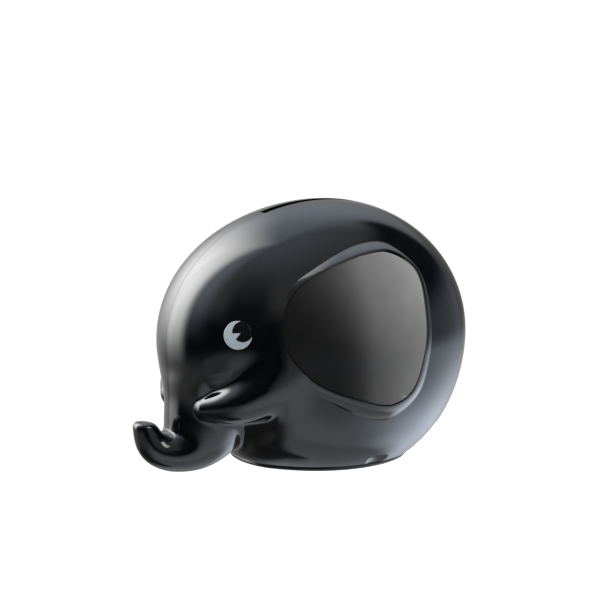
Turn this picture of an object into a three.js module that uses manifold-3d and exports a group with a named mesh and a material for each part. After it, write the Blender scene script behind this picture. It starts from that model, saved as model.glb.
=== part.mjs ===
// A coin bank in the shape of a round elephant that sits on its flat base, in millimetres.
// +Z is up and the elephant looks along -X, so its left side is towards -Y.
// The origin is on the underside of the base cover, under the middle of the body.
// Two moulded shells meet on the upright plane y = 0 and share the coin slot in the crest.
// Matt ear panels sit in raised ear lobes, the eyes are inlaid discs, and a cover closes the base.
import * as THREE from 'three';
import { mergeVertices } from 'three/addons/utils/BufferGeometryUtils.js';
import Module from 'manifold-3d';

// ---- Driving dimensions ----
const WALL = 2.5; // thickness of the moulded shells
const GAP = 0.3; // clearance between touching pieces

// The body and the head are two blended ellipsoids.
const BODY = { centre: [1.5, 0, 52], radii: [70.5, 49.5, 61.5] };
const HEAD = { centre: [-24, 0, 56], radii: [47, 39, 43.5] };
const HEAD_BLEND = 27; // width of the blend between head and body
const BELLY_FLARE = 0.4; // how much fuller than an ellipsoid the body is at its foot
const BELLY_TOP = 50; // height where that fullness starts
// An upright oval that trims the body under the chin and cheeks, and how softly it does so.
const NECK = { centreX: 30, radii: [71, 150], meanRadius: 71, topBlend: 12, sideBlend: 8 };
// Height of that cut at the cheeks and in the middle, and how far out it starts and ends to rise.
const JAW = { cheek: 47.5, middle: 23, from: 9, to: 21 };
const EGG_CENTRE = new THREE.Vector3(-2, 0, 52); // point inside from which the surface is seen whole

// Trunk: centre line (x, z), radius in the side view and radius across.
const TRUNK = [
  [-42, 60, 24, 21], [-46, 48, 25, 22], [-50, 36, 23, 21], [-55, 22, 18.5, 19],
  [-62, 12.5, 13, 15.5], [-72, 9, 9, 11.5], [-80.2, 11.5, 7.2, 8.2], [-85.2, 20, 5.2, 5.6],
];
const TRUNK_HOLLOW_END = 5; // last trunk station that is hollow

// Tusk on the left side: x, y, z and radius, from the cheek to the tip.
const TUSK = [
  [-32, -22, 45, 10], [-46.2, -28.6, 36.4, 10], [-52.7, -26.4, 32.8, 9.1], [-59.5, -20.2, 31, 6.9],
  [-63.5, -16.5, 30, 4.5],
];
const LIP = { centre: [-42, 0, 17.5], radii: [6, 12, 8.5] }; // lower lip behind the trunk

// Ear outlines in the side view (x, z): the matt panel, and the foot of the raised lobe round it.
const PANEL_OUTLINE = [
  [-40.3, 66.5], [-34.6, 79.7], [-21, 88.2], [-1, 94], [14.6, 93.8], [25.7, 85.5], [27.2, 69],
  [25.5, 51], [18.5, 35.3], [7, 30.5], [-8, 34], [-26, 42], [-38.3, 55.3],
];
const LOBE_OUTLINE = [
  [-43.2, 66], [-36.3, 80.9], [-21, 90.6], [2, 98], [18, 96.8], [31, 85], [33, 68],
  [32, 49], [26, 33], [12, 24], [0, 23.8], [-16, 31], [-33, 43.2], [-41.3, 54.6],
];
const LOBE_HEIGHT = 3; // how far the lobe stands off the body
const PANEL_THICKNESS = 1.5;
const PEGS = [[-22, 66], [14, 80], [10, 44]]; // fixing pegs behind each ear panel (x, z)
const PEG = { radius: 1.5, headRadius: 3, headFar: 3.2, headNear: 2 }; // head's faces, inside the inner wall

// Eye disc and pupil, and the wedge cut from the pupil. Plugs start proud of the surface.
const EYE = { x: -57, z: 63.8, radius: 6.1, depth: 1.7, proud: 4 };
const PUPIL = { right: 1.75, up: 1.3, radius: 4.1, depth: 1, notchAngle: 205, notchSpread: 34 };

// Coin slot in the crest.
const SLOT = { centreX: -4.5, length: 45, width: 4.6, bottom: 90 };

// Base cover: plate, upright skirt with crush ribs, and the prying notch in the shell above it.
const COVER = { plate: 2, skirtTop: 9, skirtWall: 2, skirtRadii: [34.6, 33.4] };
const RIB = { count: 10, proud: 0.25, radius: 0.8 };
const NOTCH = { x: 7.5, radius: 4.5, from: 39, to: 60 }; // rod across the shell's foot (y, outwards)

// Locating pins along the seam: direction from the middle of the body, in degrees above +X.
const PIN_ANGLES = [-28, 12, 58, 128];
const PIN = { radius: 1.5, length: 4, bossRadius: 3.6, bossLength: 8, inset: 5.2 };

const FAR = 200; // larger than the whole object
const PRISM = { from: 15, to: 75 }; // reach of an ear prism, out from the seam plane
const BISECTIONS = 40; // steps of each search for a point on the surface
const SLOPE_STEP = 0.05;

// Facet counts: round a rod, a locating boss and a peg, and along and round the smooth forms.
const ROUND = { rod: 20, boss: 16, peg: 14, eye: 32, rib: 10, skirt: 40, earLoop: 32 };
const EGG_FACETS = { outside: [40, 26], inside: [32, 22] };

// ---- Solid tools ----
const wasm = await Module();
wasm.setup();

function toSolid(geometry) {
  const bare = geometry.clone();
  for (const name of Object.keys(bare.attributes)) {
    if (name !== 'position') bare.deleteAttribute(name);
  }
  const merged = mergeVertices(bare, 1e-4);
  const vertProperties = new Float32Array(merged.attributes.position.array);
  const triVerts = new Uint32Array(merged.index.array);
  return new wasm.Manifold(new wasm.Mesh({ numProp: 3, vertProperties, triVerts }));
}

function toGeometry(solid) {
  const mesh = solid.getMesh();
  const geometry = new THREE.BufferGeometry();
  geometry.setAttribute('position', new THREE.BufferAttribute(mesh.vertProperties, 3));
  geometry.setIndex(new THREE.BufferAttribute(mesh.triVerts, 1));
  return geometry;
}

function box(low, high) {
  const size = high.map((value, axis) => value - low[axis]);
  const geometry = new THREE.BoxGeometry(...size);
  geometry.translate(...low.map((value, axis) => value + size[axis] / 2));
  return toSolid(geometry);
}

// A cylinder between two points.
function rod(from, to, radius, sides = ROUND.rod) {
  const start = new THREE.Vector3(...from);
  const end = new THREE.Vector3(...to);
  const axis = end.clone().sub(start);
  const geometry = new THREE.CylinderGeometry(radius, radius, axis.length(), sides);
  const turn = new THREE.Quaternion();
  turn.setFromUnitVectors(new THREE.Vector3(0, 1, 0), axis.clone().normalize());
  geometry.applyQuaternion(turn);
  geometry.translate(...start.add(end).multiplyScalar(0.5).toArray());
  return toSolid(geometry);
}

function joined(solids) {
  return solids.reduce((sum, solid) => sum.add(solid));
}

// ---- The smooth form of body and head ----
// Every field is below zero inside, above zero outside, and close to a distance near the surface.
function ellipsoidField(point, { centre, radii }) {
  const offset = point.toArray().map((value, axis) => value - centre[axis]);
  const unit = Math.hypot(...offset.map((value, axis) => value / radii[axis]));
  const slope = Math.hypot(...offset.map((value, axis) => value / radii[axis] ** 2));
  return unit * (unit - 1) / Math.max(slope, 1e-9);
}

function blend(a, b, width) {
  const overlap = Math.max(width - Math.abs(a - b), 0) / width;
  return Math.min(a, b) - overlap ** 3 * width / 6;
}

function eggField(point) {
  const flare = BELLY_FLARE * (Math.max(BELLY_TOP - point.z, 0) / BELLY_TOP) ** 2;
  const squeezed = point.clone();
  squeezed.y /= 1 + flare;
  const body = ellipsoidField(squeezed, BODY);
  const [neckX, neckY] = NECK.radii;
  const neckUnit = Math.hypot((point.x - NECK.centreX) / neckX, point.y / neckY);
  const neck = (neckUnit - 1) * NECK.meanRadius;
  const outwards = THREE.MathUtils.smoothstep(Math.abs(point.y), JAW.from, JAW.to);
  const jaw = THREE.MathUtils.lerp(JAW.middle, JAW.cheek, outwards);
  const chin = blend(neck, jaw - point.z, NECK.topBlend);
  const trimmed = -blend(-body, -chin, NECK.sideBlend);
  return blend(trimmed, ellipsoidField(point, HEAD), HEAD_BLEND);
}

// The point where a ray from the middle of the egg meets the surface raised by a height.
function onEgg(direction, height) {
  let near = 0;
  let far = FAR;
  const point = new THREE.Vector3();
  for (let step = 0; step < BISECTIONS; step += 1) {
    const reach = (near + far) / 2;
    point.copy(direction).multiplyScalar(reach).add(EGG_CENTRE);
    if (eggField(point) < height) near = reach;
    else far = reach;
  }
  return point;
}

// A sphere drawn out until it lies on the egg's surface raised by a height.
function egg(height, [columns, rings] = EGG_FACETS.outside) {
  const geometry = new THREE.SphereGeometry(1, columns, rings);
  geometry.rotateX(Math.PI / 2);
  const position = geometry.attributes.position;
  const direction = new THREE.Vector3();
  for (let index = 0; index < position.count; index += 1) {
    direction.fromBufferAttribute(position, index).normalize();
    const point = onEgg(direction, height);
    position.setXYZ(index, point.x, point.y, point.z);
  }
  return toSolid(geometry);
}

// The height of the egg's left surface over a point of the side view, as a y value.
function leftSurface(x, z, height = 0) {
  let inside = 0;
  let outside = -FAR / 2;
  for (let step = 0; step < BISECTIONS; step += 1) {
    const y = (inside + outside) / 2;
    if (eggField(new THREE.Vector3(x, y, z)) < height) inside = y;
    else outside = y;
  }
  return inside;
}

function eggNormal(point) {
  const slope = [[1, 0, 0], [0, 1, 0], [0, 0, 1]].map((axis) => {
    const offset = new THREE.Vector3(...axis).multiplyScalar(SLOPE_STEP);
    return eggField(point.clone().add(offset)) - eggField(point.clone().sub(offset));
  });
  return new THREE.Vector3(...slope).normalize();
}

// ---- Drawn-out parts: trunk and tusks ----
// A tube with round ends along a smooth line; stations are [x, y, z, radius, radius across].
function horn(stations, sides, rings) {
  const line = new THREE.CatmullRomCurve3(stations.map(([x, y, z]) => new THREE.Vector3(x, y, z)));
  const sizes = new THREE.CatmullRomCurve3(
    stations.map(([, , , radius, across]) => new THREE.Vector3(radius, across, 0)),
  );
  const capRings = 4;
  const geometry = new THREE.SphereGeometry(1, sides, rings + 2 * capRings);
  const position = geometry.attributes.position;
  const acrossAxis = new THREE.Vector3(0, 1, 0);
  for (let ring = 0; ring <= rings + 2 * capRings; ring += 1) {
    const along = THREE.MathUtils.clamp((ring - capRings) / rings, 0, 1);
    const centre = line.getPoint(along);
    const tangent = line.getTangent(along);
    const [radius, across] = sizes.getPoint(along).toArray();
    const beyond = Math.max(capRings - ring, ring - capRings - rings, 0) / capRings;
    const sign = ring < capRings ? -1 : 1;
    centre.addScaledVector(tangent, sign * radius * Math.sin(beyond * Math.PI / 2));
    const shrink = Math.cos(beyond * Math.PI / 2);
    const side = acrossAxis.clone().addScaledVector(tangent, -tangent.y).normalize();
    const up = new THREE.Vector3().crossVectors(side, tangent);
    for (let column = 0; column <= sides; column += 1) {
      const turn = (column % sides) / sides * 2 * Math.PI;
      const point = centre.clone();
      point.addScaledVector(side, Math.cos(turn) * across * shrink);
      point.addScaledVector(up, Math.sin(turn) * radius * shrink);
      position.setXYZ(ring * (sides + 1) + column, point.x, point.y, point.z);
    }
  }
  return toSolid(geometry);
}

function trunk(inset, lastStation = TRUNK.length) {
  const stations = TRUNK.slice(0, lastStation).map(
    ([x, z, radius, across]) => [x, 0, z, radius - inset, across - inset],
  );
  return horn(stations, 18, 16);
}

function tusk(sideSign) {
  const stations = TUSK.map(([x, y, z, radius]) => [x, -sideSign * y, z, radius, radius]);
  return horn(stations, 12, 7);
}

function lip() {
  const geometry = new THREE.SphereGeometry(1, 16, 10);
  geometry.scale(...LIP.radii);
  geometry.translate(...LIP.centre);
  return toSolid(geometry);
}

// ---- Ear shapes ----
// An upright prism through one side of the body, from a smooth closed outline in the side view.
function earPrism(outline, sideSign, margin = 0) {
  const middleX = outline.reduce((sum, [x]) => sum + x, 0) / outline.length;
  const middleZ = outline.reduce((sum, [, z]) => sum + z, 0) / outline.length;
  const loop = new THREE.CatmullRomCurve3(
    outline.map(([x, z]) => new THREE.Vector3(x, z, 0)), true, 'centripetal',
  );
  const points = loop.getPoints(ROUND.earLoop).slice(0, -1).map((point) => {
    const outward = new THREE.Vector2(point.x - middleX, point.y - middleZ).normalize();
    return new THREE.Vector2(point.x, point.y).addScaledVector(outward, margin);
  });
  const depth = PRISM.to - PRISM.from;
  const geometry = new THREE.ExtrudeGeometry(new THREE.Shape(points), { depth, bevelEnabled: false });
  geometry.rotateX(Math.PI / 2);
  geometry.translate(0, sideSign > 0 ? PRISM.to : -PRISM.from, 0);
  return toSolid(geometry);
}

function earPeg(x, z, sideSign, radius, from, to) {
  return rod([x, sideSign * from, z], [x, sideSign * to, z], radius, ROUND.peg);
}

// ---- Whole-body blanks, each used by several pieces ----
const blanks = {
  outside: egg(0),
  lobeTop: egg(LOBE_HEIGHT),
  recessFloor: egg(LOBE_HEIGHT - PANEL_THICKNESS - GAP),
  panelBack: egg(LOBE_HEIGHT - PANEL_THICKNESS),
  inside: egg(-WALL, EGG_FACETS.inside),
};

function hollow() {
  return blanks.inside.add(trunk(WALL, TRUNK_HOLLOW_END));
}

// ---- Eyes ----
function eyeFrame(sideSign) {
  const centre = new THREE.Vector3(EYE.x, leftSurface(EYE.x, EYE.z), EYE.z);
  const normal = eggNormal(centre);
  const right = new THREE.Vector3(0, 0, 1).cross(normal).normalize();
  const up = new THREE.Vector3().crossVectors(normal, right);
  const mirror = new THREE.Vector3(1, -sideSign, 1);
  return {
    centre: centre.multiply(mirror), normal: normal.multiply(mirror),
    right: right.multiply(mirror), up: up.multiply(mirror),
  };
}

// A round plug through the surface at the eye, from one depth to another (outward is positive).
function eyePlug(sideSign, right, up, radius, low, high) {
  const frame = eyeFrame(sideSign);
  const centre = frame.centre.clone();
  centre.addScaledVector(frame.right, right).addScaledVector(frame.up, up);
  const from = centre.clone().addScaledVector(frame.normal, low);
  const to = centre.clone().addScaledVector(frame.normal, high);
  return rod(from.toArray(), to.toArray(), radius, ROUND.eye);
}

function pupilPlug(sideSign, margin, low, high) {
  return eyePlug(sideSign, PUPIL.right, PUPIL.up, PUPIL.radius + margin, low, high);
}

function eyeWhite(sideSign) {
  const disc = eyePlug(sideSign, 0, 0, EYE.radius, -EYE.depth, EYE.proud).intersect(blanks.outside);
  return disc.subtract(pupilPlug(sideSign, GAP, -PUPIL.depth - GAP, EYE.proud + 1));
}

// The pupil is a disc with a wedge cut out of its lower front.
function eyePupil(sideSign) {
  const disc = pupilPlug(sideSign, 0, -PUPIL.depth, EYE.proud);
  const rim = eyePlug(sideSign, 0, 0, EYE.radius, -EYE.depth, EYE.proud);
  const frame = eyeFrame(sideSign);
  const wedge = new THREE.Shape();
  wedge.moveTo(0, 0);
  for (const edge of [-0.5, 0.5]) {
    const angle = THREE.MathUtils.degToRad(PUPIL.notchAngle + edge * PUPIL.notchSpread);
    wedge.lineTo(2 * PUPIL.radius * Math.cos(angle), 2 * PUPIL.radius * Math.sin(angle));
  }
  const depth = 2 * EYE.proud;
  const geometry = new THREE.ExtrudeGeometry(wedge, { depth, bevelEnabled: false });
  geometry.translate(PUPIL.right, PUPIL.up, -depth / 2);
  const flip = sideSign > 0 ? -1 : 1;
  geometry.scale(flip, 1, 1);
  if (flip < 0) turnInsideOut(geometry);
  const axes = new THREE.Matrix4().makeBasis(
    frame.right.clone().multiplyScalar(flip), frame.up, frame.normal,
  );
  geometry.applyMatrix4(axes.setPosition(frame.centre));
  return disc.intersect(rim).intersect(blanks.outside).subtract(toSolid(geometry));
}

// Swaps two corners of every triangle, for a shape that has been mirrored.
function turnInsideOut(geometry) {
  const position = geometry.attributes.position;
  const swap = new THREE.Vector3();
  const other = new THREE.Vector3();
  for (let index = 0; index < position.count; index += 3) {
    swap.fromBufferAttribute(position, index);
    other.fromBufferAttribute(position, index + 1);
    position.setXYZ(index, other.x, other.y, other.z);
    position.setXYZ(index + 1, swap.x, swap.y, swap.z);
  }
}

// ---- Shells ----
function pinPlace(degrees) {
  const angle = THREE.MathUtils.degToRad(degrees);
  const direction = new THREE.Vector3(Math.cos(angle), 0, Math.sin(angle));
  const point = onEgg(direction, -PIN.inset);
  return [point.x, point.z];
}

// One half of the elephant: sideSign -1 is its left half, which carries the pins.
function shell(sideSign) {
  const above = box([-FAR, -FAR, COVER.plate + GAP], [FAR, FAR, FAR]);
  const body = blanks.outside.add(tusk(sideSign)).add(lip()).intersect(above);
  const lobe = blanks.lobeTop.intersect(earPrism(LOBE_OUTLINE, sideSign));
  const floorCut = box([-FAR, -FAR, -FAR], [FAR, FAR, 0]);
  const whole = joined([body, lobe, trunk(0).subtract(floorCut)]);
  const recess = earPrism(PANEL_OUTLINE, sideSign, GAP).subtract(blanks.recessFloor);
  const slot = box(
    [SLOT.centreX - SLOT.length / 2, -SLOT.width / 2, SLOT.bottom],
    [SLOT.centreX + SLOT.length / 2, SLOT.width / 2, FAR],
  );
  const eyeSeat = eyePlug(sideSign, 0, 0, EYE.radius + GAP, -EYE.depth - GAP, EYE.proud + 1);
  let half = whole.subtract(hollow()).subtract(recess).subtract(slot).subtract(eyeSeat);
  for (const [x, z] of PEGS) {
    half = half.subtract(earPeg(x, z, sideSign, PEG.radius + GAP, PRISM.from, PRISM.to));
  }
  if (sideSign < 0) {
    const [from, to] = [NOTCH.from, NOTCH.to].map((y) => [NOTCH.x, -y, COVER.plate]);
    half = half.subtract(rod(from, to, NOTCH.radius));
  }
  for (const [x, z] of PIN_ANGLES.map(pinPlace)) {
    half = half.add(rod([x, 0, z], [x, sideSign * PIN.bossLength, z], PIN.bossRadius, ROUND.boss));
  }
  const [lowY, highY] = sideSign < 0 ? [-FAR, -GAP / 2] : [GAP / 2, FAR];
  half = half.intersect(box([-FAR, lowY, -FAR], [FAR, highY, FAR]));
  for (const [x, z] of PIN_ANGLES.map(pinPlace)) {
    const root = [x, -1, z];
    if (sideSign < 0) half = half.add(rod(root, [x, PIN.length, z], PIN.radius, ROUND.peg));
    else half = half.subtract(rod(root, [x, PIN.length + 1, z], PIN.radius + GAP, ROUND.peg));
  }
  return half;
}

// ---- Ear panels ----
function earPanel(sideSign) {
  const plate = blanks.lobeTop.subtract(blanks.panelBack).intersect(earPrism(PANEL_OUTLINE, sideSign));
  const pegs = PEGS.map(([x, z]) => {
    const outer = -leftSurface(x, z, LOBE_HEIGHT - PANEL_THICKNESS / 2);
    const inner = -leftSurface(x, z, -WALL);
    const head = [inner - PEG.headFar, inner - PEG.headNear];
    const stem = earPeg(x, z, sideSign, PEG.radius, (head[0] + head[1]) / 2, outer);
    return stem.add(earPeg(x, z, sideSign, PEG.headRadius, ...head));
  });
  return joined([plate, ...pegs]);
}

// ---- Base cover ----
function ovalPrism([radiusX, radiusY], low, high) {
  const geometry = new THREE.CylinderGeometry(1, 1, high - low, ROUND.skirt);
  geometry.rotateX(Math.PI / 2);
  geometry.scale(radiusX, radiusY, 1);
  geometry.translate(BODY.centre[0], 0, (low + high) / 2);
  return toSolid(geometry);
}

function baseCover() {
  const plate = blanks.outside.intersect(box([-FAR, -FAR, 0], [FAR, FAR, COVER.plate]));
  const hole = COVER.skirtRadii.map((radius) => radius - COVER.skirtWall);
  const ring = ovalPrism(COVER.skirtRadii, COVER.plate / 2, COVER.skirtTop);
  let cover = plate.add(ring.subtract(ovalPrism(hole, COVER.plate, COVER.skirtTop + 1)));
  for (let index = 0; index < RIB.count; index += 1) {
    const angle = (index + 0.5) / RIB.count * 2 * Math.PI;
    const [x, y] = [Math.cos(angle), Math.sin(angle)].map(
      (value, axis) => value * (COVER.skirtRadii[axis] + RIB.proud - RIB.radius),
    );
    const place = [BODY.centre[0] + x, y];
    const [foot, top] = [COVER.plate / 2, COVER.skirtTop - 1].map((z) => [...place, z]);
    cover = cover.add(rod(foot, top, RIB.radius, ROUND.rib));
  }
  return cover;
}

// ---- Materials and assembly ----
const glossBlack = new THREE.MeshStandardMaterial({ color: 0x15171b, roughness: 0.12, metalness: 0 });
const mattBlack = new THREE.MeshStandardMaterial({ color: 0x2b2b2c, roughness: 0.6, metalness: 0 });
const eyeColour = new THREE.MeshStandardMaterial({ color: 0xd5dadf, roughness: 0.3, metalness: 0 });
const pupilBlack = new THREE.MeshStandardMaterial({ color: 0x08080a, roughness: 0.2, metalness: 0 });
const coverBlack = new THREE.MeshStandardMaterial({ color: 0x1b1c1f, roughness: 0.35, metalness: 0 });

function piece(name, solid, material) {
  const mesh = new THREE.Mesh(toGeometry(solid), material);
  mesh.name = name;
  return mesh;
}

const elephant = new THREE.Group();
for (const [side, sideSign] of [['left', -1], ['right', 1]]) {
  elephant.add(piece(`shell_${side}`, shell(sideSign), glossBlack));
  elephant.add(piece(`ear_panel_${side}`, earPanel(sideSign), mattBlack));
  elephant.add(piece(`eye_white_${side}`, eyeWhite(sideSign), eyeColour));
  elephant.add(piece(`eye_pupil_${side}`, eyePupil(sideSign), pupilBlack));
}

const bank = new THREE.Group();
bank.add(elephant);
bank.add(piece('base_cover', baseCover(), coverBlack));

export default bank;
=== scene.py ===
"""A glossy black elephant coin bank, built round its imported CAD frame.

The smooth skin is the zero surface of a field: two blended ellipsoids for body and head, swept
tubes for trunk and tusks. It is meshed, hollowed and cut like the moulded shells it stands for.
Shape functions work in millimetres in the row frame: +Z up, the elephant looks along -X.
"""

import math

import bmesh
import bpy
import numpy as np
from mathutils import Matrix, Vector


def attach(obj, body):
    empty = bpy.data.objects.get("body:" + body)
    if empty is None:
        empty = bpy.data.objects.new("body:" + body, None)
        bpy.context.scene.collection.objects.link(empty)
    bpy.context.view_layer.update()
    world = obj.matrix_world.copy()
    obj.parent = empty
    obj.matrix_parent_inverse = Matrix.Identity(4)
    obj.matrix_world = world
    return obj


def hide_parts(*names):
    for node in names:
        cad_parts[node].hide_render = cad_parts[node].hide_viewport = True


MM = 0.001

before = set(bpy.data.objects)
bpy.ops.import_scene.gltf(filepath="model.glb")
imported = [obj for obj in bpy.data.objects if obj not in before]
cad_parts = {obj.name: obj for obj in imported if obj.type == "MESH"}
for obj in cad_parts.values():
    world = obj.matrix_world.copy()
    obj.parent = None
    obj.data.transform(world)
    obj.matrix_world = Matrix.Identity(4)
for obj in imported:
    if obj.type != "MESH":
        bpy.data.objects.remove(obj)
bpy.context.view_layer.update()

# ---------------------------------------------------------------- driving dimensions (mm)
WALL = 2.5
SEAM = 0.09  # half the gap between the two shells
# The seam is stepped, so no light passes: inside this depth the left shell reaches over the middle.
SEAM_STEP = {"depth": 1.2, "reach": 0.8, "gap": 0.12}
BODY = {"centre": (1.5, 0, 52), "radii": (70.5, 49.5, 61.5)}
HEAD = {"centre": (-24, 0, 56), "radii": (47, 39, 43.5)}
HEAD_BLEND = 27
FOLD = {"blend": 19, "sides": (18, 32), "heights": (42, 62)}  # a crisper join behind the tusks
BELLY_FLARE = 0.4
BELLY_TOP = 50
NECK = {"centre_x": 30, "radii": (71, 150), "mean_radius": 71, "top_blend": 12, "side_blend": 8}
JAW = {"cheek": 45.5, "middle": 23, "sides": (9, 21)}  # height of the underside: cheeks, middle

# Trunk stations: x, z, radius in the side view, radius across.
TRUNK = (
    (-40, 68, 30, 27),
    (-45, 52, 27.5, 24.5),
    (-50, 36, 23, 21),
    (-55, 22, 18.5, 19),
    (-62, 12.5, 13, 15.5),
    (-72, 9, 9.2, 11.5),
    (-80.2, 11.5, 7.2, 8.2),
    (-85.2, 21, 5, 5.6),
)
TRUNK_BLEND = (5, 7)  # narrow beside the chin, wider on the face
TRUNK_BLEND_RISE = (18, 43)  # heights between which it widens
TRUNK_HOLLOW_END = 5
TIP = {"through": (-84.5, 0, 23), "tilt": -6, "from_x": -78, "round": 3.6}  # its blunt end faces up
TRUNK_ROOT = {"top": 42, "round": 8}  # the trunk ends inside the face at this height
# Tusk stations: x, y, z, radius.
TUSK = (
    (-36, -32, 45, 11),
    (-46, -31, 37.6, 10.2),
    (-53, -26.9, 33.4, 9.3),
    (-59.5, -20.2, 31, 6.9),
    (-63, -16.5, 30, 5.4),
)
TUSK_BLEND = (2.5, 12)  # crisp at the tip, wide at the cheek
TUSK_BLEND_FROM = (-67, -48)  # x between which it widens
LIP = {"centre": (-42, 0, 17.5), "radii": (6, 12, 8.5)}
LIP_BLEND = 1.2
FRONT_END = 8  # trunk and tusks only reach the skin ahead of this x

EAR_CENTRE = (-7, 62)
PANEL_OUTLINE = (
    (-40.3, 66.5), (-34.6, 79.7), (-21, 88.2), (-1, 94), (14.6, 93.8), (25.7, 85.5), (27.2, 69),
    (25.5, 51), (18.5, 35.3), (7, 30.5), (-8, 34), (-26, 42), (-38.3, 55.3),
)
LOBE_OUTLINE = (
    (-43.2, 66), (-36.3, 80.9), (-21, 90.6), (2, 98), (18, 96.8), (31, 85), (33, 68),
    (32, 49), (26, 33), (12, 24), (0, 23.8), (-16, 31), (-33, 43.2), (-41.3, 54.6),
)
LOBE_HEIGHT = 3.6
LOBE_SINK = 0.3  # the lobe dips under the skin at its front end
LOBE_FRONT = (-44, -2)  # x where it comes out of the head, and where it has its full height
LOBE_RIM = 0.2  # flat rim round the panel
LOBE_FALL = 1.9  # power by which it falls from the rim to its foot: gently, then steeply
LOBE_ROOT = 1.8  # how deep in the wall its solid starts
LOBE_LEAST_WIDTH = 0.6
PANEL_GAP = 0.3
PANEL_THICKNESS = 1.5
PANEL_EDGE = 0.2  # radius of the panel's rounded edge
PANEL_SUNK = 0.5  # how far its face lies below the lobe's top
PEGS = ((-22, 66), (14, 80), (10, 44))  # fixing pegs behind each panel: x, z
PEG_RADIUS = 1.5
PEG_GAP = 0.3
PEG_ROOT = 0.7  # share of the panel's thickness where its pegs start
# A peg past the inner wall: distance and radius, over its melted head.
PEG_HEAD = ((2.0, PEG_RADIUS), (2.0, 2.7), (2.3, 3.0), (2.8, 2.9), (3.2, 2.2), (3.3, 0.6))

EYE = {"x": -57, "z": 63.8, "radius": 6.1, "depth": 1.6, "gap": 0.12, "proud": 0.05, "edge": 0.22}
EYE_SEAT_GAP = 0.1  # under the eye
PUPIL = {
    "right": 2.1, "up": 1.6, "radius": 4.45, "depth": 0.8, "gap": 0.05, "floor_gap": 0.1,
    "proud": 0.1, "edge": 0.12,
    "notch": (-0.8, -0.7),  # the wedge's tip, from the pupil's centre
    "notch_edges": (182, 231),  # directions of the wedge's two sides, degrees
    "rim": 0.02,  # how far it stays inside the eye's edge
    "middle": (0.6, 0.5),  # from its centre, a point from which its whole outline is seen
}

SLOT = {"centre_x": -4.5, "length": 45, "width": 4.6, "corner": 0.5, "heights": (88, 118)}
COVER = {
    "plate": 2, "skirt_top": 9, "skirt_wall": 2, "skirt_radii": (34.6, 33.4), "ribs": 10,
    "sides": 240,
}
RIB = {"proud": 0.25, "narrowness": 24}
SHELL_FOOT = 2.3  # height where the shells end, over the cover's plate
SHELL_FOOT_FRONT = -45.5  # ahead of this x the trunk reaches the floor
NOTCH = {"centre": (7.5, -42.3, 1.0), "radii": (7.6, 4.2, 5.9)}  # a scoop in the left shell's foot
PIN_ANGLES = (-28, 12, 58, 128)  # locating pins round the seam, degrees above +X
PIN_INSET = 5.2  # how far inside the skin
PIN_ROOT = -1  # y where pins and sockets start
PIN_PROFILE = ((0, 1.5), (4.6, 1.5), (5.0, 1.1))  # distance from the root and radius
SOCKET_PROFILE = ((0, 1.8), (6.0, 1.8))
BOSS_ROOT = 1  # y where the bosses start, going left
BOSS_PROFILE = ((0, 3.6), (8.6, 3.6), (9, 3.2))
BODY_MIDDLE = (-2, 0, 52)  # a point from which the seam line is seen whole

FAR = 150  # past the whole object
CUT_ABOVE = 4  # how far the cutters of pockets and seats stand over the surface
PEG_HOLE = (75, 60)  # how far out on the left a peg's hole starts, and its length
SKIN_CELL = 1.0
SKIN_BOX = ((-94, -58, -1.2), (75, 3, 116))
SKIN_PAST_MIDDLE = 1.6
HOLLOW_CELL = 2.5
HOLLOW_BOX = ((-80, -56, -2), (74, 56, 114))
FLOOR_EDGE = 0.6  # roundness where the skin meets the floor
SLOPE_STEP = 0.05
BISECTIONS = 26  # steps of each search for a point on the surface
ON_SKIN = 0.03  # a vertex nearer than this to the skin takes its exact normal
SAME_WAY = 0.8  # if the face's own normal agrees this well
AT_ONCE = 20000  # points that a tube's field takes at a time


# ---------------------------------------------------------------- fields
def smooth_min(a, b, width):
    overlap = np.maximum(width - np.abs(a - b), 0) / width
    return np.minimum(a, b) - overlap**3 * width / 6


def smooth_max(a, b, width):
    return -smooth_min(-a, -b, width)


def smooth_step(value, low, high):
    share = np.clip((value - low) / (high - low), 0, 1)
    return share * share * (3 - 2 * share)


def ellipsoid(points, centre, radii):
    scaled = (points - np.array(centre)) / np.array(radii)
    unit = np.sqrt((scaled**2).sum(-1))
    slope = np.sqrt(((scaled / np.array(radii)) ** 2).sum(-1)) + 1e-9
    return unit * (unit - 1) / slope


def smooth_line(stations, count):
    """A natural cubic spline through the stations, at evenly spaced places along it."""
    stations = np.array(stations, float)
    gaps = np.linalg.norm(np.diff(stations[:, :3], axis=0), axis=1)
    knots = np.concatenate(([0], np.cumsum(gaps)))
    n = len(knots)
    matrix = np.eye(n)
    right = np.zeros_like(stations)
    for i in range(1, n - 1):
        matrix[i, i - 1 : i + 2] = gaps[i - 1], 2 * (gaps[i - 1] + gaps[i]), gaps[i]
        ahead = (stations[i + 1] - stations[i]) / gaps[i]
        behind = (stations[i] - stations[i - 1]) / gaps[i - 1]
        right[i] = 6 * (ahead - behind)
    bend = np.linalg.solve(matrix, right)
    t = np.linspace(0, knots[-1], count)
    i = np.clip(np.searchsorted(knots, t, "right") - 1, 0, n - 2)
    gap = gaps[i][:, None]
    b = (t - knots[i])[:, None] / gap
    a = 1 - b
    curve = (a**3 - a) * bend[i] + (b**3 - b) * bend[i + 1]
    return a * stations[i] + b * stations[i + 1] + curve * gap**2 / 6


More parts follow.
